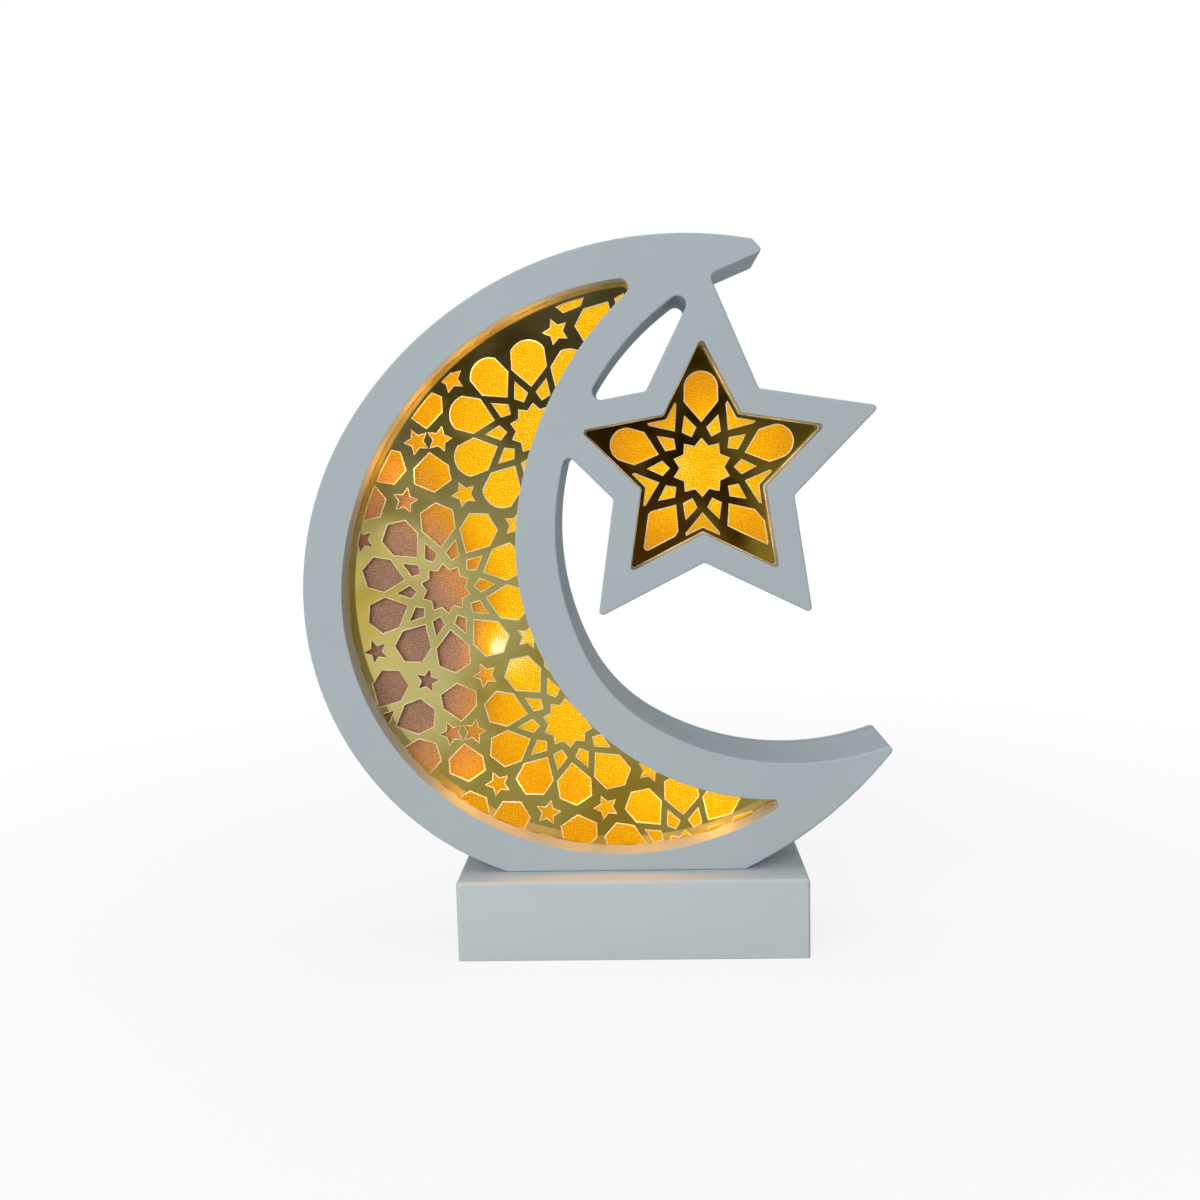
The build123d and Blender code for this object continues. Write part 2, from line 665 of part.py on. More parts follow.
def resistor():
    return chip(BOARD_CENTRE, BOARD_R, RESISTOR_ANGLE, RESISTOR_L, RESISTOR_W, RESISTOR_H)


def star_board():
    return depth_rod(STAR, STAR_BOARD_R, BOARD_Y, SEAM_Y)


RAIL_HALF = IN_D / 2 - PLATE_GAP - RAIL_MARGIN - RAIL_T
FLANGE_HALF = RAIL_HALF - DOOR_GAP
DOOR_HALF = FLANGE_HALF - FLANGE_W
FLANGE_Z = DOOR_TOP - FLANGE_T
DOOR_START = TRAY_LEFT - TRAY_WALL
DOOR_END = BASE_W / 2 - DOOR_SET
SLOT_L = NOB_L + SWITCH_TRAVEL + 2 * NOB_GAP
TAIL_Z = TRAY_END_H + CONTACT_RISE / 2
TERMINAL_Y = WALL_Y - SWITCH_D - WIRE_SEAT


def switch_slot(half_l, half_h, front, back):
    """A slot through the back wall or the switch, about the switch's middle."""
    low = (SWITCH_X - half_l, front, SWITCH_Z - half_h)
    return block(low, (SWITCH_X + half_l, back, SWITCH_Z + half_h))


def base_housing():
    box = block((-BASE_W / 2, -BASE_D / 2, 0), (BASE_W / 2, BASE_D / 2, BASE_H))
    upright = box.edges().filter_by(Axis.Z)
    top = box.faces().sort_by(Axis.Z)[-1].edges()
    housing = fillet(upright + top, BASE_EDGE)
    housing -= block((-IN_W / 2, -IN_D / 2, 0), (IN_W / 2, IN_D / 2, CEILING_Z))
    thread_r = SCREW_D / 2 + THREAD_GAP
    for y in (-PLATE_BOSS_Y, PLATE_BOSS_Y):
        housing += post(PLATE_BOSS_X, y, BOSS_R, PLATE_TOP, CEILING_Z + BASE_TOP / 2)
        housing -= post(PLATE_BOSS_X, y, thread_r, PLATE_TOP, PLATE_TOP + SCREW_L)
    for y in (-TONGUE_Y, TONGUE_Y):
        half = TONGUE_W / 2 + PLATE_GAP
        pocket_top = PLATE_TOP + PLATE_GAP
        housing -= block((IN_W / 2, y - half, PLATE_Z), (IN_W / 2 + TONGUE_L, y + half, pocket_top))
    for x in FOOT_SCREW_X:
        housing -= post(x, 0, SCREW_D / 2 + HOLE_GAP, CEILING_Z, BASE_H)
    housing -= post(FEED_MID, WIRE_Y, WIRE_HOLE_D / 2, CEILING_Z, BASE_H)
    housing -= switch_slot(SLOT_L / 2, NOB_H / 2 + NOB_GAP, WALL_Y, BASE_D / 2)
    return housing - block((IN_W / 2, -RAIL_HALF, 0), (BASE_W / 2, RAIL_HALF, PLATE_Z))


def base_plate():
    half_w = IN_W / 2 - PLATE_GAP
    half_d = IN_D / 2 - PLATE_GAP
    tray_half = TRAY_IN_W / 2
    plate = block((-half_w, -half_d, PLATE_Z), (half_w, half_d, PLATE_TOP))
    outer_half = tray_half + TRAY_WALL
    plate += block((TRAY_LEFT - TRAY_WALL, -outer_half, PLATE_Z), (TRAY_END_X, outer_half, TRAY_END_H))
    plate -= block((TRAY_LEFT, -outer_half, TRAY_SIDE_H), (TRAY_RIGHT, outer_half, TRAY_END_H))
    plate -= block((TRAY_LEFT, -tray_half, PLATE_Z), (TRAY_RIGHT, tray_half, TRAY_END_H))
    half = TONGUE_W / 2
    for y in (-TONGUE_Y, TONGUE_Y):
        plate += block((half_w, y - half, PLATE_Z), (half_w + TONGUE_L, y + half, PLATE_TOP))
    for side in (-1, 1):
        lip = block((DOOR_START, DOOR_HALF + DOOR_GAP, DOOR_LIFT), (half_w, RAIL_HALF, FLANGE_Z - DOOR_GAP))
        rail = block((DOOR_START, RAIL_HALF, DOOR_LIFT), (half_w, RAIL_HALF + RAIL_T, PLATE_Z)) + lip
        plate += rail if side > 0 else mirror(rail, Plane.XZ)
    for y in (-PLATE_BOSS_Y, PLATE_BOSS_Y):
        plate -= post(PLATE_BOSS_X, y, SCREW_D / 2 + HOLE_GAP, PLATE_Z, PLATE_TOP)
    return plate


def battery_door():
    door = block((DOOR_START, -DOOR_HALF, DOOR_LIFT), (DOOR_END, DOOR_HALF, DOOR_TOP))
    door += block((DOOR_START, -FLANGE_HALF, FLANGE_Z), (DOOR_END, FLANGE_HALF, DOOR_TOP))
    for i in range(GRIP_COUNT):
        x = DOOR_END - (i + 1) * GRIP_PITCH
        door -= block((x - GRIP_T, -GRIP_W / 2, DOOR_LIFT), (x, GRIP_W / 2, DOOR_LIFT + GRIP_DEPTH))
    return door


def cell(y, nub_right):
    """One battery cell lying along X, with its nub to the right or to the left."""
    low = TRAY_LEFT + (SPRING_DEPTH if nub_right else FLAT_DEPTH)
    body = post(0, 0, CELL_D / 2, 0, CELL_L - NUB_L) + post(0, 0, NUB_D / 2, CELL_L - NUB_L, CELL_L)
    if nub_right:
        return Pos(low, y, CELL_Z) * Rot(0, 90, 0) * body
    return Pos(low + CELL_L, y, CELL_Z) * Rot(0, -90, 0) * body


def contact_plate(wall_x, side, low_y, high_y, rise):
    ends = sorted((wall_x, wall_x + side * CONTACT_T))
    return block((ends[0], low_y, PLATE_TOP), (ends[1], high_y, TRAY_END_H + rise))


def contact_leaf(wall_x, side, y):
    """A bowed spring leaf that presses on a cell's flat end."""
    reach = side * (SPRING_DEPTH - WIRE_SEAT)
    inner = side * (SPRING_DEPTH - WIRE_SEAT - CONTACT_T)
    low = CELL_Z - LEAF_SPAN / 2
    high = CELL_Z + LEAF_SPAN / 2
    outer_arc = ThreePointArc((wall_x, low), (wall_x + reach, CELL_Z), (wall_x, high))
    low += CONTACT_T
    high -= CONTACT_T
    inner_arc = ThreePointArc((wall_x, low), (wall_x + inner, CELL_Z), (wall_x, high))
    ends = [Line(outer_arc @ i, inner_arc @ i) for i in (0, 1)]
    plane = Plane(origin=(0, y + LEAF_W / 2, 0), x_dir=(1, 0, 0), z_dir=(0, -1, 0))
    return extrude(plane * make_face([outer_arc, inner_arc, *ends]), LEAF_W)


def contact_bump(wall_x, side, y):
    """A round bump that meets a cell's nub."""
    ends = sorted((wall_x, wall_x + side * (FLAT_DEPTH - WIRE_SEAT)))
    return Pos(ends[0], y, CELL_Z) * Rot(0, 90, 0) * post(0, 0, BUMP_D / 2, 0, ends[1] - ends[0])


def negative_contact():
    half = CONTACT_W / 2
    plate = contact_plate(TRAY_LEFT, 1, CELL_Y - half, CELL_Y + half, CONTACT_RISE)
    return plate + contact_leaf(TRAY_LEFT, 1, CELL_Y)


def positive_contact():
    half = CONTACT_W / 2
    plate = contact_plate(TRAY_LEFT, 1, -CELL_Y - half, -CELL_Y + half, CONTACT_RISE)
    return plate + contact_bump(TRAY_LEFT, 1, -CELL_Y)


def link_contact():
    half = CELL_Y + CONTACT_W / 2
    plate = contact_plate(TRAY_RIGHT, -1, -half, half, 0)
    return plate + contact_leaf(TRAY_RIGHT, -1, -CELL_Y) + contact_bump(TRAY_RIGHT, -1, CELL_Y)


NOB_FOOT_Y = WALL_Y - SWITCH_D / 2


def switch_body():
    body = switch_slot(SWITCH_L / 2, SWITCH_H / 2, WALL_Y - SWITCH_D, WALL_Y)
    body -= switch_slot(SLOT_L / 2, NOB_H / 2 + NOB_GAP, NOB_FOOT_Y, WALL_Y)
    cavity_half = NOB_FOOT_H / 2 + NOB_GAP
    cavity_back = NOB_FOOT_Y + NOB_FOOT_T + NOB_GAP
    return body - switch_slot(SLOT_L / 2, cavity_half, NOB_FOOT_Y - NOB_GAP, cavity_back)


def switch_slider():
    low = SWITCH_X - SLOT_L / 2 + NOB_GAP
    high = low + NOB_L
    back = BASE_D / 2 + NOB_OUT
    stem = block((low, NOB_FOOT_Y, SWITCH_Z - NOB_H / 2), (high, back, SWITCH_Z + NOB_H / 2))
    half = NOB_FOOT_H / 2
    foot_back = NOB_FOOT_Y + NOB_FOOT_T
    return stem + block((low, NOB_FOOT_Y, SWITCH_Z - half), (high, foot_back, SWITCH_Z + half))


def wire(*points):
    """A round wire along straight runs joined by bends."""
    path = FilletPolyline(*points, radius=WIRE_BEND) if len(points) > 2 else Line(*points)
    return sweep(Plane(origin=path @ 0, z_dir=path % 0) * Circle(WIRE_D / 2), path=path)


def star_wire(i):
    height = BASE_H + STAR_WIRE_Z[i]
    return wire((STAR_WIRE_START, WIRE_Y, height), (STAR_WIRE_END[i], WIRE_Y, height))


def plate_screws():
    upward = Rot(180, 0, 0) * screw(SCREW_L)
    return [Pos(PLATE_BOSS_X, y, PLATE_Z) * upward for y in (-PLATE_BOSS_Y, PLATE_BOSS_Y)]


def foot_screws():
    upward = Rot(180, 0, 0) * screw(FOOT_SCREW_L)
    return [Pos(x, 0, CEILING_Z) * upward for x in FOOT_SCREW_X]


def save(name, shape):
    pieces = shape if isinstance(shape, list) else [shape]
    export_step(Compound([piece.solid() for piece in pieces]), f"parts/{name}.step")


def main():
    os.makedirs("parts", exist_ok=True)
    body = body_outline()
    board_top = BASE_H + FEED_TOP
    save("front_shell", front_shell(body))
    save("rear_cover", rear_cover(body))
    save("rear_cover_screws", cover_screws())
    save("moon_lattice", moon_lattice())
    save("star_lattice", star_lattice())
    save("moon_diffuser", diffuser(moon_window))
    save("star_diffuser", diffuser(star_window))
    save("moon_led_board", moon_board())
    save("moon_leds", moon_leds())
    save("star_led_board", star_board())
    save("star_leds", star_leds())
    save("resistor", resistor())
    save("base_housing", base_housing())
    save("base_plate", base_plate())
    save("base_plate_screws", plate_screws())
    save("foot_screws", foot_screws())
    save("battery_door", battery_door())
    save("battery_cell_a", cell(CELL_Y, True))
    save("battery_cell_b", cell(-CELL_Y, False))
    save("negative_contact", negative_contact())
    save("positive_contact", positive_contact())
    save("link_contact", link_contact())
    save("switch_body", switch_body())
    save("switch_slider", switch_slider())
    save("supply_wire", wire((TRAY_LEFT - WIRE_SEAT, -CELL_Y, TAIL_Z), (SUPPLY_X, -CELL_Y, TAIL_Z),
                             (SUPPLY_X, -CELL_Y, SWITCH_Z), (SUPPLY_X, TERMINAL_Y, SWITCH_Z)))
    save("feed_wire", wire((FEED_X, TERMINAL_Y, SWITCH_Z), (FEED_X, WIRE_Y, SWITCH_Z),
                           (FEED_X, WIRE_Y, board_top)))
    save("return_wire", wire((TRAY_LEFT - WIRE_SEAT, WIRE_Y, TAIL_Z), (RETURN_X, WIRE_Y, TAIL_Z),
                             (RETURN_X, WIRE_Y, board_top)))
    save("star_feed_wire", star_wire(0))
    save("star_return_wire", star_wire(1))


main()
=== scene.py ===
import json
import math

import bmesh
import bpy
from mathutils import Matrix, Vector


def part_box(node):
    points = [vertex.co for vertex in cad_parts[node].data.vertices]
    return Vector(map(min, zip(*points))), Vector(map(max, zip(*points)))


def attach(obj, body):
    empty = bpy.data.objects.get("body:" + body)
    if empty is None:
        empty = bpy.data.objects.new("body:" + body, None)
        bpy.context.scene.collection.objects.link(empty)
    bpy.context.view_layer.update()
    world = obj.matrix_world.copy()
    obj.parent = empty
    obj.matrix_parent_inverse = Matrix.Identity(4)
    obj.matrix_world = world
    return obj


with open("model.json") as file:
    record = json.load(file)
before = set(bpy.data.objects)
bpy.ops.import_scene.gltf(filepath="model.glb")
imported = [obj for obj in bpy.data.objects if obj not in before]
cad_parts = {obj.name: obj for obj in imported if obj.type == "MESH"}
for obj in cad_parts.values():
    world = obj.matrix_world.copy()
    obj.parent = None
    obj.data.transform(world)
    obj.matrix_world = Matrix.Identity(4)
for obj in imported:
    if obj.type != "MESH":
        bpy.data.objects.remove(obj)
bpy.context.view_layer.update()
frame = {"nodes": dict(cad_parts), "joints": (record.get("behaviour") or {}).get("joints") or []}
NODES = frame["nodes"]
MM = 0.001

# Places that the frame gives, in metres; the seam is the front shell's back edge
SHEET_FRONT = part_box("moon_lattice")[0].y
SEAM_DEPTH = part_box("front_shell")[1].y
BASE_LOW, BASE_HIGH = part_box("base_housing")
DOOR_SLIDE = next(joint for joint in frame["joints"] if joint["name"] == "battery_door_slide")
DOOR_TRAVEL = DOOR_SLIDE["range_m"][1]
DOOR_PATH_MIDDLE = (BASE_LOW.x + BASE_HIGH.x + DOOR_TRAVEL) / 2
DOOR_PATH_HALF_LENGTH = (BASE_HIGH.x + DOOR_TRAVEL - BASE_LOW.x) / 2

# Where the lamp shines and where it is dim, in metres
LAMP_MIDDLE = (0.0, 0.0, 90.0 * MM)
STAR_MIDDLE = (21.0 * MM, 0.0, 131.3 * MM)
HOT_LED = (-36.0 * MM, 0.0, 83.3 * MM)
UNLIT_MIDDLE = (-66.0 * MM, 0.0, 86.0 * MM)
UNLIT_HALF_WIDTH = 22.0 * MM
UNLIT_HALF_HEIGHT = 38.0 * MM
LED_ARC_MIDDLE = (43.6 * MM, 0.0, 117.4 * MM)
LED_ARC_RADIUS = 84.0 * MM
# Middle, reach and gain of each bright spot on a film
MOON_HOT_SPOTS = [(HOT_LED, 14.0 * MM, 0.22), (HOT_LED, 3.6 * MM, 0.24)]
STAR_HOT_SPOTS = [(STAR_MIDDLE, 15.0 * MM, 0.08)]

# Where light leaves the film close to the window's wall: right and up, in millimetres
WALL_GLOWS = [(-22, 167), (-37, 159), (-50, 147), (-60, 132),
              (-43, 47), (-31, 45), (-14, 40), (4, 38), (22, 37)]
WALL_GLOW_POWER = 0.0044
STAR_GLOW_POWER = 0.0010
STAR_GLOW_REACH = 19.0 * MM
STAR_ARMS = 5
GLOW_DEPTH = SHEET_FRONT - 2.6 * MM
GLOW_SIZE = 3.0 * MM
LED_AMBER = (1.0, 0.40, 0.02)

# Beads round the openings and lips of the windows, in metres
BEAD_RADIUS = 0.20 * MM
LIP_RADIUS = 0.32 * MM
WELD = 0.001 * MM
FLATNESS = 0.01 * MM
# The least share of a face's normal that points to the front or back, for a face that looks that way
FACING = 0.9

# Colours inside the finishes
SPECK_GREY = (0.30, 0.32, 0.33)
# Paler edges: partly rubbed wear, partly a painted highlight
EDGE_WEAR_AND_HIGHLIGHT_WHITE = (0.80, 0.83, 0.85)
# Painted shadow: the dark line along the seam between shell and cover
SEAM_PAINTED_SHADOW = (0.10, 0.10, 0.10)
# Painted highlight: the paler colour of the gold sheet's cut edges
CUT_EDGE_PAINTED_HIGHLIGHT = (0.86, 0.70, 0.34)
RUBBED_METAL = (0.90, 0.90, 0.88)
FILM_UNLIT = (0.36, 0.205, 0.135)
FILM_SHONE_THROUGH = (0.05, 0.018, 0.001)

# The film's own light, from cold to hot by its share of heat
FILM_LIT = 0.71
FILM_COLD = (0.010, 0.004, 0.002)
FILM_WARM = [(0.12, (0.10, 0.035, 0.006)), (0.26, (0.34, 0.125, 0.010)), (0.45, (0.62, 0.245, 0.004)),
             (0.62, (0.88, 0.39, 0.001)), (0.78, (1.0, 0.60, 0.004))]
FILM_HOT = (1.0, 0.95, 0.50)

# The floor, in metres, and its colours to the eye, in bounced light and in mirrors
FLOOR_DROP = 0.05 * MM
FLOOR_RADIUS = 0.9
FLOOR_SIDES = 96
FLOOR_OVERLIT = 0.80
FLOOR_PALE = (0.93, 0.93, 0.93)
FLOOR_BOUNCED = (0.55, 0.55, 0.55)
FLOOR_OLIVE = (0.36, 0.32, 0.14)
FLOOR_GREY = (0.36, 0.36, 0.36)

# The room that mirrors show; its bright side is a direction, squeezed along each axis
WHITE = (1.0, 1.0, 1.0)
FILL_LIGHT = (0.37, 0.38, 0.39)
ROOM_DARK = (0.050, 0.042, 0.030)
ROOM_LOW = (0.34, 0.325, 0.20)
ROOM_THINGS = (0.62, 0.64, 0.52)
ROOM_SIDE = (0.68, 0.67, 0.54)
ROOM_CEILING = (0.75, 0.77, 0.80)
ROOM_BEHIND = (0.40, 0.41, 0.42)
SIDE_SQUEEZE = (1.5, 0.3, 0.9)
SIDE_MIDDLE = (-0.35, -0.29, -0.155)

# Camera, in metres and degrees, with its lens in millimetres
CAMERA_PLACE = (4.95 * MM, -323.57 * MM, 134.54 * MM)
CAMERA_YAW = -2.20
CAMERA_PITCH = 6.90
CAMERA_ROLL = 1.43
CAMERA_LENS = 35.22
CAMERA_SENSOR = 36.0
CAMERA_NEAR = 10.0 * MM

# Kinds of socket, and the places of a Mix node's colours among its sockets
VALUE = "NodeSocketFloat"
VECTOR = "NodeSocketVector"
MIX_SHARE = 0
MIX_FIRST = 6
MIX_SECOND = 7
MIX_RESULT = 2


def put(tree, socket, value):
    """Links a socket to another socket, or sets it to a constant; colours are opaque."""
    if isinstance(value, bpy.types.NodeSocket):
        tree.links.new(value, socket)
    elif socket.type == "RGBA":
        socket.default_value = (*value, 1.0)
    else:
        socket.default_value = value


def node(tree, kind, sockets=None, **settings):
    """A new shader node with its settings and its sockets filled."""
    made = tree.nodes.new("ShaderNode" + kind)
    for name, value in settings.items():
        setattr(made, name, value)
    for name, value in (sockets or {}).items():
        put(tree, made.inputs[name], value)
    return made


def calc(tree, operation, *terms):
    """The result of one operation on values."""
    made = node(tree, "Math", operation=operation)
    for socket, term in zip(made.inputs, terms):
        put(tree, socket, term)
    return made.outputs[0]


def scaled(tree, value, gain, base=0.0):
    """A value times a gain, on top of a base."""
    return calc(tree, "MULTIPLY_ADD", value, gain, base)


def vector(tree, operation, *terms):
    """The result of one operation on vectors."""
    made = node(tree, "VectorMath", operation=operation)
    for socket, term in zip(made.inputs, terms):
        put(tree, socket, term)
    return made.outputs["Value" if operation in ("LENGTH", "DOT_PRODUCT", "DISTANCE") else "Vector"]


def coordinate(tree, spot, axis):
    """One coordinate of a point or a direction."""
    return node(tree, "SeparateXYZ", {"Vector": spot}).outputs[axis]


def ease(tree, value, start, end, least=0.0, most=1.0):
    """A smooth step from least, where the value is at its start, to most, where it is at its end."""
    made = node(tree, "MapRange", {"Value": value, "From Min": start, "From Max": end,
                                   "To Min": least, "To Max": most}, interpolation_type="SMOOTHSTEP")
    return made.outputs["Result"]


def noise(tree, spot, scale, detail, **more):
    """A value that drifts over the surface, faster with a larger scale."""
    return node(tree, "TexNoise", {"Vector": spot, "Scale": scale, "Detail": detail, **more}).outputs[0]


def blend(tree, share, first, second, mode="MIX"):
    """A second colour mixed into a first by a share."""
    made = node(tree, "Mix", data_type="RGBA", blend_type=mode)
    put(tree, made.inputs[MIX_SHARE], share)
    put(tree, made.inputs[MIX_FIRST], first)
    put(tree, made.inputs[MIX_SECOND], second)
    return made.outputs[MIX_RESULT]


def tinted(tree, colour, tint, mask, share):
    """A colour with a share of a tint laid over it where a mask is high."""
    return blend(tree, scaled(tree, mask, gain=share), colour, tint)


def layered(tree, share, first, second):
    """A second shader mixed into a first by a share."""
    made = node(tree, "MixShader", {"Fac": share})
    put(tree, made.inputs[1], first)
    put(tree, made.inputs[2], second)
    return made.outputs[0]


def place(tree):
    """A point's place on the lamp, in metres."""
    return node(tree, "TexCoord").outputs["Object"]


def flat_place(tree):
    """A point's place without its depth."""
    return vector(tree, "MULTIPLY", place(tree), (1.0, 0.0, 1.0))


def shared_effect(name, inputs, outputs):
    """A node group with named inputs and outputs, and the sockets at its two ends."""
    tree = bpy.data.node_groups.new(name, "ShaderNodeTree")
    for label, value in inputs.items():
        kind = VECTOR if isinstance(value, tuple) else VALUE
        tree.interface.new_socket(label, in_out="INPUT", socket_type=kind).default_value = value
    for label, kind in outputs.items():
        tree.interface.new_socket(label, in_out="OUTPUT", socket_type=kind)
    return tree, tree.nodes.new("NodeGroupInput").outputs, tree.nodes.new("NodeGroupOutput").inputs


def use(tree, effect, **sockets):
    """Places a shared effect in a material and gives its outputs."""
    made = tree.nodes.new("ShaderNodeGroup")
    made.node_tree = effect
    for name, value in sockets.items():
        put(tree, made.inputs[name], value)
    return made.outputs


def moulded_grain():
    """Fine grain of a moulded surface: a light speckle and a height."""
    tree, given, out = shared_effect("moulded_grain", {"Size": 2600.0}, {"Speck": VALUE, "Height": VALUE})
    spot = place(tree)
    fine = noise(tree, spot, scale=given["Size"], detail=3.0, Roughness=0.6)
    pits = node(tree, "TexVoronoi", {"Vector": spot, "Scale": given["Size"]}).outputs["Distance"]
    put(tree, out["Speck"], fine)
    put(tree, out["Height"], scaled(tree, pits, gain=0.5, base=fine))
    return tree


def handling_marks():
    """Soft smudges and thin rubbed streaks left by hands."""
    tree, given, out = shared_effect("handling_marks", {"Size": 22.0}, {"Smudge": VALUE, "Streak": VALUE})
    spot = place(tree)
    wide = noise(tree, spot, scale=given["Size"], detail=4.0, Roughness=0.55, Distortion=0.6)
    put(tree, out["Smudge"], ease(tree, wide, start=0.38, end=0.66))
    turned = node(tree, "Mapping", {"Vector": spot, "Rotation": (0.3, 0.5, 0.2), "Scale": (1.0, 1.0, 14.0)})
    thin = noise(tree, turned.outputs[0], scale=60.0, detail=2.0)
    put(tree, out["Streak"], ease(tree, thin, start=0.62, end=0.74))
    return tree


def rubbed_and_highlit_edge():
    """Where a surface nears an edge: a mask for paler edges, partly rubbed wear and partly a painted
    highlight, and a normal that rounds the edge.
    """
    tree, given, out = shared_effect("rubbed_and_highlit_edge", {"Radius": 0.4 * MM}, {"Edge": VALUE, "Normal": VECTOR})
    soft = node(tree, "Bevel", {"Radius": given["Radius"]}, samples=6).outputs[0]
    facing = vector(tree, "DOT_PRODUCT", soft, node(tree, "NewGeometry").outputs["Normal"])
    put(tree, out["Edge"], ease(tree, facing, start=0.995, end=0.86))
    put(tree, out["Normal"], soft)
    return tree


def woven_film():
    """The embossed weave of the diffuser film: a tone and a height."""
    tree, given, out = shared_effect("woven_film", {"Pitch": 1.1 * MM, "Turn": 0.58, "Wander": 0.60 * MM},
                                     {"Tone": VALUE, "Height": VALUE})
    wobble = node(tree, "TexNoise", {"Vector": place(tree), "Scale": 900.0, "Detail": 1.0}).outputs["Color"]
    off = vector(tree, "SUBTRACT", wobble, (0.5, 0.5, 0.5))
    spot = vector(tree, "MULTIPLY_ADD", off, given["Wander"], place(tree))
    turned = node(tree, "VectorRotate", {"Vector": spot, "Angle": given["Turn"]}, rotation_type="Y_AXIS")
    wave = calc(tree, "DIVIDE", 2 * math.pi, given["Pitch"])
    warp, weft = (calc(tree, "SINE", calc(tree, "MULTIPLY", coordinate(tree, turned.outputs[0], axis), wave))
                  for axis in "XZ")
    knots = scaled(tree, calc(tree, "MULTIPLY", warp, weft), gain=0.5, base=0.5)
    grit = noise(tree, spot, scale=2100.0, detail=2.0)
    grains = scaled(tree, ease(tree, grit, start=0.30, end=0.70), gain=0.55)
    put(tree, out["Tone"], scaled(tree, knots, gain=0.45, base=grains))
    put(tree, out["Height"], knots)
    return tree


def lamp_glow():
    """How strongly a light behind the film shows at a point."""
    tree, given, out = shared_effect("lamp_glow", {"Middle": (0.0, 0.0, 0.0), "Reach": 10.0 * MM},
                                     {"Glow": VALUE})
    away = vector(tree, "DISTANCE", flat_place(tree), given["Middle"])
    put(tree, out["Glow"], ease(tree, calc(tree, "DIVIDE", away, given["Reach"]), start=1.0, end=0.0))
    return tree


def brushed_lines():
    """Fine lines left by rolling or turning a metal."""
    tree, given, out = shared_effect("brushed_lines", {"Size": 900.0, "Stretch": (1.0, 30.0, 1.0)},
                                     {"Line": VALUE})
    drawn = vector(tree, "MULTIPLY", place(tree), given["Stretch"])
    put(tree, out["Line"], noise(tree, drawn, scale=given["Size"], detail=2.0))
    return tree


GRAIN = moulded_grain()
HANDLING = handling_marks()
EDGE = rubbed_and_highlit_edge()
WEAVE = woven_film()
GLOW = lamp_glow()
BRUSHED = brushed_lines()


def blank_material(name):
    """A new material and its empty node tree."""
    made = bpy.data.materials.new(name)
    made.use_nodes = True
    made.node_tree.nodes.clear()
    return made, made.node_tree


def material(name):
    """A new material, its node tree, and the inputs of its own shader."""
    made, tree = blank_material(name)
    shader = node(tree, "BsdfPrincipled")
    put(tree, node(tree, "OutputMaterial").inputs["Surface"], shader.outputs[0])
    return made, tree, shader.inputs


def bump(tree, height, strength, depth, normal=None):
    """A normal that follows a height, over another normal where one is given."""
    made = node(tree, "Bump", {"Height": height, "Strength": strength, "Distance": depth})
    if normal is not None:
        put(tree, made.inputs["Normal"], normal)
    return made.outputs[0]


def white_plastic(name, bright, shade, seam_shadow=False):
    """Satin white moulding: grain, faint smudges, paler edges that are partly rubbed wear and partly a
    painted highlight and, on the shell, a painted shadow line along the seam.
    """
    made, tree, into = material(name)
    grain = use(tree, GRAIN)
    marks = use(tree, HANDLING)
    edge = use(tree, EDGE)
    colour = tinted(tree, bright, shade, mask=marks["Smudge"], share=0.5)
    colour = tinted(tree, colour, SPECK_GREY, mask=grain["Speck"], share=0.10)
    # Paler edges, partly rubbed wear and partly a painted highlight
    colour = tinted(tree, colour, EDGE_WEAR_AND_HIGHLIGHT_WHITE, mask=edge["Edge"], share=0.35)
    # Painted shadow: a dark line along the seam where the shell meets the cover
    if seam_shadow:
        depth = coordinate(tree, place(tree), "Y")
        off = calc(tree, "ABSOLUTE", calc(tree, "SUBTRACT", depth, SEAM_DEPTH))
        line = ease(tree, off, start=0.35 * MM, end=0.10 * MM)
        colour = tinted(tree, colour, SEAM_PAINTED_SHADOW, mask=line, share=0.75)
    put(tree, into["Base Color"], colour)
    rough = scaled(tree, marks["Smudge"], gain=0.10, base=0.42)
    put(tree, into["Roughness"], scaled(tree, marks["Streak"], gain=-0.08, base=rough))
    relief = bump(tree, grain["Height"], strength=0.12, depth=0.04 * MM, normal=edge["Normal"])
    put(tree, into["Normal"], relief)
    into["Specular IOR Level"].default_value = 0.35
    return made


def gold_mirror(name, deep, pale, reflection_lean):
    """Gold mirror sheet: painted reflections that drift and lean over the panel, smudged polish, and cut
    edges painted paler as a highlight.
    """
    made, tree, into = material(name)
    marks = use(tree, HANDLING, Size=34.0)
    # Painted reflection: the gold's tone drifts over the sheet and, where a lean is given, grows paler
    # across it
    reflection_drift = noise(tree, place(tree), scale=34.0, detail=3.0, Distortion=0.5)
    from_middle = vector(tree, "SUBTRACT", place(tree), STAR_MIDDLE)
    reflection_tone = calc(tree, "ADD", reflection_drift, vector(tree, "DOT_PRODUCT", from_middle, reflection_lean))
    colour = blend(tree, ease(tree, reflection_tone, start=0.35, end=0.65), deep, pale)
    # Painted highlight: the cut edges are paler; they are also less metallic and rougher
    forward = coordinate(tree, node(tree, "TexCoord").outputs["Normal"], "Y")
    cut = ease(tree, calc(tree, "ABSOLUTE", forward), start=0.9, end=0.5)
    put(tree, into["Base Color"], blend(tree, cut, colour, CUT_EDGE_PAINTED_HIGHLIGHT))
    put(tree, into["Metallic"], scaled(tree, cut, gain=-0.55, base=1.0))
    rough = scaled(tree, marks["Smudge"], gain=0.06, base=0.05)
    rough = scaled(tree, marks["Streak"], gain=0.05, base=rough)
    put(tree, into["Roughness"], scaled(tree, cut, gain=0.30, base=rough))
    ripple = noise(tree, place(tree), scale=45.0, detail=1.0)
    put(tree, into["Normal"], bump(tree, ripple, strength=0.40, depth=0.4 * MM))
    return made


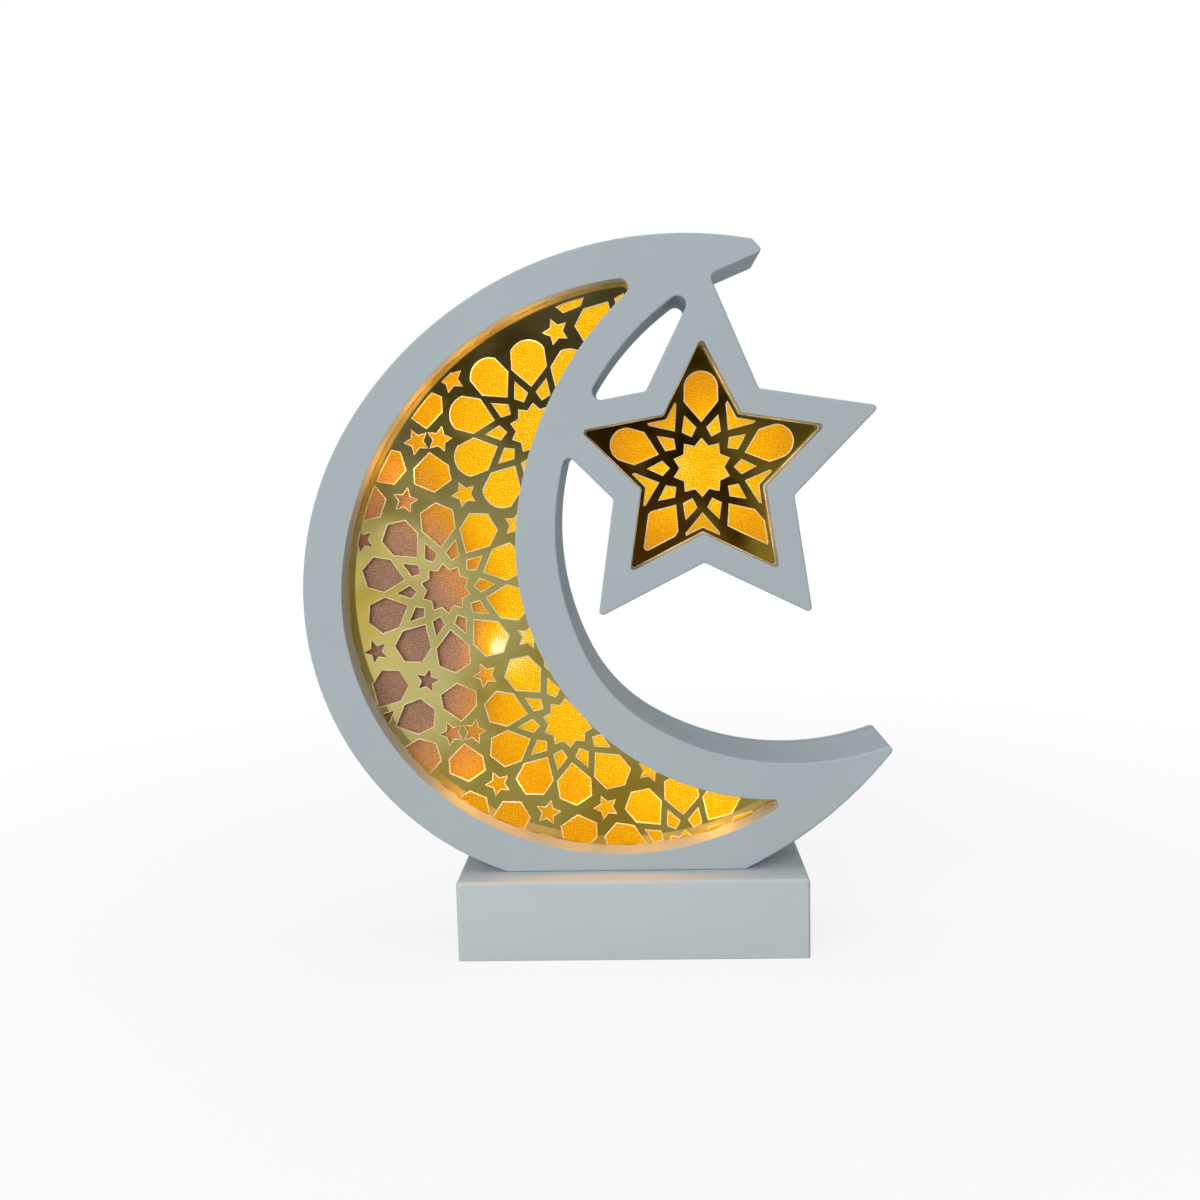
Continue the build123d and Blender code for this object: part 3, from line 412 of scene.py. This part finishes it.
def lit_film(name, lit_share, hot_spots):
    """Embossed diffuser film: pinkish brown where unlit, amber where the lights shine through it."""
    made, tree, into = material(name)
    weave = use(tree, WEAVE)
    lit = lit_share(tree)
    heat = scaled(tree, lit, gain=FILM_LIT)
    for middle, reach, gain in hot_spots:
        heat = scaled(tree, use(tree, GLOW, Middle=middle, Reach=reach)["Glow"], gain, base=heat)
    sparkle = scaled(tree, weave["Tone"], gain=0.40, base=0.80)
    ramp = node(tree, "ValToRGB", {"Fac": calc(tree, "MULTIPLY", heat, sparkle)})
    stops = ramp.color_ramp.elements
    stops[0].color = (*FILM_COLD, 1.0)
    stops[1].color = (*FILM_HOT, 1.0)
    for share, tint in FILM_WARM:
        stops.new(share).color = (*tint, 1.0)
    put(tree, into["Emission Color"], ramp.outputs[0])
    into["Emission Strength"].default_value = 1.0
    body = blend(tree, ease(tree, lit, start=0.10, end=0.80), FILM_UNLIT, FILM_SHONE_THROUGH)
    grit = scaled(tree, weave["Tone"], gain=0.80, base=0.60)
    tone = node(tree, "CombineColor", {"Red": grit, "Green": grit, "Blue": grit}).outputs[0]
    put(tree, into["Base Color"], blend(tree, 1.0, body, tone, "MULTIPLY"))
    put(tree, into["Roughness"], scaled(tree, weave["Tone"], gain=0.2, base=0.4))
    put(tree, into["Normal"], bump(tree, weave["Height"], strength=0.5, depth=0.2 * MM))
    into["Specular IOR Level"].default_value = 0.12
    return made


def moon_lit(tree):
    """The crescent's film is dim in an oval at its left, and brightest along the arc of LEDs."""
    away = vector(tree, "SUBTRACT", place(tree), UNLIT_MIDDLE)
    oval = vector(tree, "MULTIPLY", away, (1.0 / UNLIT_HALF_WIDTH, 0.0, 1.0 / UNLIT_HALF_HEIGHT))
    uneven = scaled(tree, noise(tree, place(tree), scale=60.0, detail=1.0), gain=0.5, base=-0.25)
    outside = ease(tree, calc(tree, "ADD", vector(tree, "LENGTH", oval), uneven), start=0.45, end=1.65)
    from_middle = vector(tree, "DISTANCE", flat_place(tree), LED_ARC_MIDDLE)
    from_arc = calc(tree, "SUBTRACT", from_middle, LED_ARC_RADIUS)
    near = ease(tree, from_arc, start=26.0 * MM, end=-4.0 * MM, least=0.74)
    return calc(tree, "MULTIPLY", outside, near)


def star_lit(tree):
    """The star's film is brightest round its middle."""
    away = vector(tree, "DISTANCE", flat_place(tree), STAR_MIDDLE)
    near = ease(tree, away, start=34.0 * MM, end=6.0 * MM, least=0.62)
    uneven = scaled(tree, noise(tree, place(tree), scale=70.0, detail=1.0), gain=0.5, base=0.72)
    return calc(tree, "MULTIPLY", near, uneven)


def plain_part(name, base, other, rough):
    """A small inner part: base colour drifting into another over its grain."""
    made, tree, into = material(name)
    grain = use(tree, GRAIN, Size=1800.0)
    marks = use(tree, HANDLING, Size=120.0)
    share = scaled(tree, grain["Speck"], gain=0.5, base=scaled(tree, marks["Smudge"], gain=0.4))
    put(tree, into["Base Color"], blend(tree, share, base, other))
    put(tree, into["Roughness"], scaled(tree, grain["Speck"], gain=0.2, base=rough))
    put(tree, into["Normal"], bump(tree, grain["Height"], strength=0.15, depth=0.03 * MM))
    return made


def plated_metal(name, base, other, stretch):
    """Plated sheet or turned metal with fine lines and rubbed edges."""
    made, tree, into = material(name)
    line = use(tree, BRUSHED, Stretch=stretch)["Line"]
    edge = use(tree, EDGE, Radius=0.2 * MM)
    colour = blend(tree, line, base, other)
    put(tree, into["Base Color"], tinted(tree, colour, RUBBED_METAL, mask=edge["Edge"], share=0.5))
    put(tree, into["Roughness"], scaled(tree, line, gain=0.25, base=0.22))
    put(tree, into["Normal"], bump(tree, line, strength=0.2, depth=0.02 * MM, normal=edge["Normal"]))
    into["Metallic"].default_value = 1.0
    return made


def cut_bead(name, base, other):
    """The satin gold of a bead that the cutting leaves, and of a window's lip, in colours painted pale for a
    highlight or dark for shade.
    """
    made, tree, into = material(name)
    patch = noise(tree, place(tree), scale=300.0, detail=2.0)
    put(tree, into["Base Color"], blend(tree, ease(tree, patch, start=0.35, end=0.65), base, other))
    put(tree, into["Roughness"], scaled(tree, patch, gain=0.2, base=0.25))
    into["Metallic"].default_value = 0.25
    return made


def dress(names, finish):
    """Gives a finish to the named nodes."""
    for name in names:
        slots = NODES[name].data.materials
        slots.clear()
        slots.append(finish)


dress(["front_shell", "rear_cover"],
      white_plastic("shell_white", bright=(0.44, 0.50, 0.53), shade=(0.41, 0.47, 0.50), seam_shadow=True))
# Painted light: the base is the shell's white plastic painted lighter, as if more light falls on it
dress(["base_housing", "base_plate", "battery_door"],
      white_plastic("base_white_painted_lighter", bright=(0.56, 0.615, 0.635), shade=(0.53, 0.58, 0.60)))
# Painted reflection: the sheets are one gold mirror, toned to stand in for what they reflect; the star's is
# a darker painted copy
dress(["moon_lattice"],
      gold_mirror("moon_gold_painted_reflection", deep=(0.74, 0.57, 0.14), pale=(0.90, 0.81, 0.40),
                  reflection_lean=(0.0, 0.0, 0.0)))
dress(["star_lattice"],
      gold_mirror("star_gold_painted_reflection", deep=(0.15, 0.065, 0.010), pale=(0.66, 0.47, 0.09),
                  reflection_lean=(7.0, 0.0, 4.0)))
dress(["moon_diffuser"], lit_film("moon_film", moon_lit, MOON_HOT_SPOTS))
dress(["star_diffuser"], lit_film("star_film", star_lit, STAR_HOT_SPOTS))
dress(["rear_cover_screws", "base_plate_screws", "foot_screws"],
      plated_metal("screw_zinc", base=(0.50, 0.50, 0.51), other=(0.66, 0.66, 0.66),
                   stretch=(30.0, 1.0, 30.0)))
dress(["negative_contact", "positive_contact", "link_contact"],
      plated_metal("contact_nickel", base=(0.58, 0.56, 0.52), other=(0.74, 0.72, 0.68),
                   stretch=(1.0, 1.0, 40.0)))
dress(["battery_cell_a", "battery_cell_b"],
      plain_part("cell_jacket", base=(0.40, 0.42, 0.44), other=(0.58, 0.59, 0.60), rough=0.30))
dress(["moon_led_board", "star_led_board"],
      plain_part("board_mask", base=(0.82, 0.83, 0.80), other=(0.70, 0.72, 0.68), rough=0.35))
dress(["moon_leds", "star_leds"],
      plain_part("led_phosphor", base=(0.95, 0.75, 0.16), other=(0.90, 0.62, 0.08), rough=0.20))
dress(["resistor"],
      plain_part("resistor_black", base=(0.02, 0.02, 0.02), other=(0.05, 0.05, 0.05), rough=0.40))
dress(["switch_body", "switch_slider"],
      plain_part("switch_black", base=(0.018, 0.018, 0.020), other=(0.040, 0.040, 0.042), rough=0.45))
dress(["supply_wire", "feed_wire", "star_feed_wire"],
      plain_part("wire_red", base=(0.50, 0.03, 0.025), other=(0.40, 0.02, 0.02), rough=0.35))
dress(["return_wire", "star_return_wire"],
      plain_part("wire_black", base=(0.015, 0.015, 0.016), other=(0.03, 0.03, 0.03), rough=0.35))


def stand(name, data):
    """A new object in the scene, made of some data."""
    made = bpy.data.objects.new(name, data)
    bpy.context.scene.collection.objects.link(made)
    return made


def width(loop):
    """How far a loop of points reaches from left to right."""
    return max(spot.x for spot in loop) - min(spot.x for spot in loop)


def edge_loops(piece, wanted):
    """The closed loops of the wanted edges in the plane of the sheets' fronts, narrowest first."""
    work = bmesh.new()
    work.from_mesh(piece.data)
    bmesh.ops.remove_doubles(work, verts=work.verts, dist=WELD)
    links = {}
    for edge in work.edges:
        if all(abs(vert.co.y - SHEET_FRONT) < FLATNESS for vert in edge.verts) and wanted(edge):
            first, second = edge.verts
            links.setdefault(first.index, []).append(second.index)
            links.setdefault(second.index, []).append(first.index)
    spots = {vert.index: vert.co.copy() for vert in work.verts}
    work.free()
    loops = []
    unused = set(links)
    while unused:
        loop = [min(unused)]
        unused.discard(loop[0])
        while True:
            ahead = [other for other in links[loop[-1]] if other in unused]
            if not ahead:
                break
            loop.append(ahead[0])
            unused.discard(ahead[0])
        loops.append([spots[index] for index in loop])
    return sorted(loops, key=width)


def on_front_rim(edge):
    """Whether an edge bounds a sheet's front face."""
    return sum(face.normal.y < -FACING for face in edge.link_faces) == 1


def on_window_rim(edge):
    """Whether an edge is the inner end of a window's wall."""
    faces = edge.link_faces
    wall = any(face.calc_center_median().y < SHEET_FRONT - FLATNESS for face in faces)
    return wall and sum(face.normal.y > FACING for face in faces) == 1


def round_beads(name, loops, radius, finish):
    """Thin round beads along closed loops, as one mesh that rides with the lamp."""
    line = bpy.data.curves.new(name, "CURVE")
    line.dimensions = "3D"
    line.bevel_depth = radius
    line.bevel_resolution = 1
    for loop in loops:
        spline = line.splines.new("POLY")
        spline.points.add(len(loop) - 1)
        spline.use_cyclic_u = True
        for point, spot in zip(spline.points, loop):
            point.co = (*spot, 1.0)
    draft = stand(name + "_line", line)
    graph = bpy.context.evaluated_depsgraph_get()
    mesh = bpy.data.meshes.new_from_object(draft.evaluated_get(graph))
    bpy.data.objects.remove(draft)
    bpy.data.curves.remove(line)
    mesh.materials.clear()
    mesh.materials.append(finish)
    beads = stand(name, mesh)
    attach(beads, "lamp")


# Painted highlight: the beads round the openings are painted pale
BEAD_PAINTED_HIGHLIGHT = cut_bead("bead_painted_highlight", base=(0.88, 0.76, 0.42), other=(0.98, 0.93, 0.66))
# Window lips: the moon's is painted dark as shade, the star's pale as a highlight
MOON_LIP_PAINTED_SHADE = cut_bead("moon_lip_painted_shade", base=(0.40, 0.26, 0.05), other=(0.66, 0.48, 0.14))
STAR_LIP_PAINTED_HIGHLIGHT = cut_bead("star_lip_painted_highlight", base=(0.74, 0.58, 0.22), other=(0.98, 0.90, 0.60))

# The widest loop of a sheet is its outline, which has no bead
for sheet in ("moon", "star"):
    openings = edge_loops(NODES[sheet + "_lattice"], on_front_rim)[:-1]
    round_beads(sheet + "_opening_highlight_beads", openings, BEAD_RADIUS, BEAD_PAINTED_HIGHLIGHT)
# The rib round each window has an inner and an outer edge; by width the inner edge comes first
star_rim, moon_rim = edge_loops(NODES["front_shell"], on_window_rim)[::2]
# The star lip carries a painted highlight and the moon lip a painted shade
round_beads("star_window_highlight_lip", [star_rim], LIP_RADIUS, STAR_LIP_PAINTED_HIGHLIGHT)
round_beads("moon_window_shade_lip", [moon_rim], LIP_RADIUS, MOON_LIP_PAINTED_SHADE)


def floor_pale():
    """Matt paint, overlit to the eye, that fades out and is clear from below and under the base and door."""
    made, tree = blank_material("floor_pale")
    rays = node(tree, "LightPath").outputs
    across = coordinate(tree, place(tree), "X")
    deep = coordinate(tree, place(tree), "Y")
    mirrored = blend(tree, ease(tree, deep, start=0.0, end=40.0 * MM), FLOOR_OLIVE, FLOOR_GREY)
    bounced = blend(tree, rays["Is Diffuse Ray"], FLOOR_PALE, FLOOR_BOUNCED)
    paint = node(tree, "BsdfDiffuse", {"Color": blend(tree, rays["Is Glossy Ray"], bounced, mirrored)})
    bright = node(tree, "Emission", {"Color": WHITE})
    overlit = scaled(tree, rays["Is Camera Ray"], gain=FLOOR_OVERLIT)
    surface = layered(tree, overlit, paint.outputs[0], bright.outputs[0])
    beside = calc(tree, "ABSOLUTE", calc(tree, "SUBTRACT", across, DOOR_PATH_MIDDLE))
    in_length = calc(tree, "LESS_THAN", beside, DOOR_PATH_HALF_LENGTH)
    in_depth = calc(tree, "LESS_THAN", calc(tree, "ABSOLUTE", deep), BASE_HIGH.y)
    under = calc(tree, "MULTIPLY", in_length, in_depth)
    under = calc(tree, "MULTIPLY", under, rays["Is Diffuse Ray"])
    below = calc(tree, "MAXIMUM", node(tree, "NewGeometry").outputs["Backfacing"], under)
    faded = ease(tree, vector(tree, "LENGTH", place(tree)), start=0.10, end=0.40)
    clear = node(tree, "BsdfTransparent").outputs[0]
    surface = layered(tree, calc(tree, "MAXIMUM", faded, below), surface, clear)
    put(tree, node(tree, "OutputMaterial").inputs["Surface"], surface)
    return made


def studio_floor():
    """A pale round floor that fades into the white surroundings."""
    disc = bmesh.new()
    bmesh.ops.create_circle(disc, cap_ends=True, segments=FLOOR_SIDES, radius=FLOOR_RADIUS)
    mesh = bpy.data.meshes.new("studio_floor")
    disc.to_mesh(mesh)
    disc.free()
    mesh.materials.append(floor_pale())
    floor = stand("studio_floor", mesh)
    floor.location.z = -FLOOR_DROP


def studio_world():
    """White surroundings, soft fill light, and a dim room with one brighter side in reflections."""
    world = bpy.data.worlds.new("studio_world")
    bpy.context.scene.world = world
    world.use_nodes = True
    tree = world.node_tree
    tree.nodes.clear()
    rays = node(tree, "LightPath").outputs
    way = node(tree, "TexCoord").outputs["Generated"]
    height = coordinate(tree, way, "Z")
    things = noise(tree, way, scale=30.0, detail=3.0, Distortion=0.8)
    uneven = scaled(tree, things, gain=0.24, base=-0.12)
    low = ease(tree, calc(tree, "ADD", height, uneven), start=0.06, end=-0.10)
    room = blend(tree, low, ROOM_DARK, ROOM_LOW)
    room = tinted(tree, room, ROOM_THINGS, mask=ease(tree, things, start=0.56, end=0.70), share=0.40)
    from_side = vector(tree, "DISTANCE", vector(tree, "MULTIPLY", way, SIDE_SQUEEZE), SIDE_MIDDLE)
    broken = scaled(tree, uneven, gain=2.5, base=from_side)
    room = blend(tree, ease(tree, broken, start=0.19, end=0.02), room, ROOM_SIDE)
    room = blend(tree, ease(tree, height, start=0.30, end=0.75), room, ROOM_CEILING)
    behind = calc(tree, "ADD", coordinate(tree, way, "Y"), uneven)
    room = blend(tree, ease(tree, behind, start=0.40, end=0.95), room, ROOM_BEHIND)
    fill = blend(tree, rays["Is Glossy Ray"], FILL_LIGHT, room)
    seen = blend(tree, rays["Is Camera Ray"], fill, WHITE)
    light = node(tree, "Background", {"Color": seen, "Strength": 1.0})
    put(tree, node(tree, "OutputWorld").inputs["Surface"], light.outputs[0])


def hang(name, light, spot):
    """Hangs a light at a spot, out of sight of the camera and of mirrors."""
    hung = stand(name, light)
    hung.location = spot
    hung.visible_camera = False
    hung.visible_glossy = False
    return hung


def softbox(name, spot, aim, size, power, tint):
    """A square soft light aimed at a point; places and size in metres, power in watts."""
    light = bpy.data.lights.new(name, "AREA")
    light.shape = "SQUARE"
    light.size = size
    light.energy = power
    light.color = tint
    box = hang(name, light, spot)
    box.rotation_euler = (Vector(aim) - Vector(spot)).to_track_quat("-Z", "Y").to_euler()


def lamp_light(name, spot, power):
    """The amber light that one LED throws on the walls of its window."""
    light = bpy.data.lights.new(name, "POINT")
    light.energy = power
    light.color = LED_AMBER
    light.shadow_soft_size = GLOW_SIZE
    hang(name, light, spot)


def photo_camera():
    """The camera where the photograph was taken from, turned by its yaw, pitch and roll."""
    yaw = math.radians(CAMERA_YAW)
    pitch = math.radians(CAMERA_PITCH)
    roll = math.radians(CAMERA_ROLL)
    ahead = Vector((math.sin(yaw) * math.cos(pitch), math.cos(yaw) * math.cos(pitch), -math.sin(pitch)))
    level = ahead.cross(Vector((0.0, 0.0, 1.0))).normalized()
    down = ahead.cross(level)
    right = level * math.cos(roll) + down * math.sin(roll)
    up = level * math.sin(roll) - down * math.cos(roll)
    lens = bpy.data.cameras.new("photo_camera")
    lens.lens = CAMERA_LENS
    lens.sensor_width = CAMERA_SENSOR
    lens.clip_start = CAMERA_NEAR
    camera = stand("photo_camera", lens)
    turn = Matrix((right, up, -ahead)).transposed().to_4x4()
    camera.matrix_world = Matrix.Translation(CAMERA_PLACE) @ turn
    bpy.context.scene.camera = camera


studio_floor()
studio_world()
softbox("front_softbox", spot=(-0.50, -1.10, 0.42), aim=LAMP_MIDDLE,
        size=1.0, power=10.4, tint=(1.0, 0.99, 0.97))
softbox("back_softbox", spot=(0.35, 1.25, 0.06), aim=LAMP_MIDDLE,
        size=0.4, power=4.5, tint=(1.0, 0.99, 0.98))
softbox("top_softbox", spot=(0.05, 0.05, 1.30), aim=(0.0, 0.0, 0.0),
        size=1.0, power=5.0, tint=(0.97, 0.99, 1.0))
for x, z in WALL_GLOWS:
    lamp_light("wall_glow_%d" % z, (x * MM, GLOW_DEPTH, z * MM), WALL_GLOW_POWER)
for arm in range(STAR_ARMS):
    angle = math.radians(90.0 + arm * 360.0 / STAR_ARMS)
    x = STAR_MIDDLE[0] + STAR_GLOW_REACH * math.cos(angle)
    z = STAR_MIDDLE[2] + STAR_GLOW_REACH * math.sin(angle)
    lamp_light("star_glow_%d" % arm, (x, GLOW_DEPTH, z), STAR_GLOW_POWER)
photo_camera()
bpy.context.scene.view_settings.view_transform = "Standard"
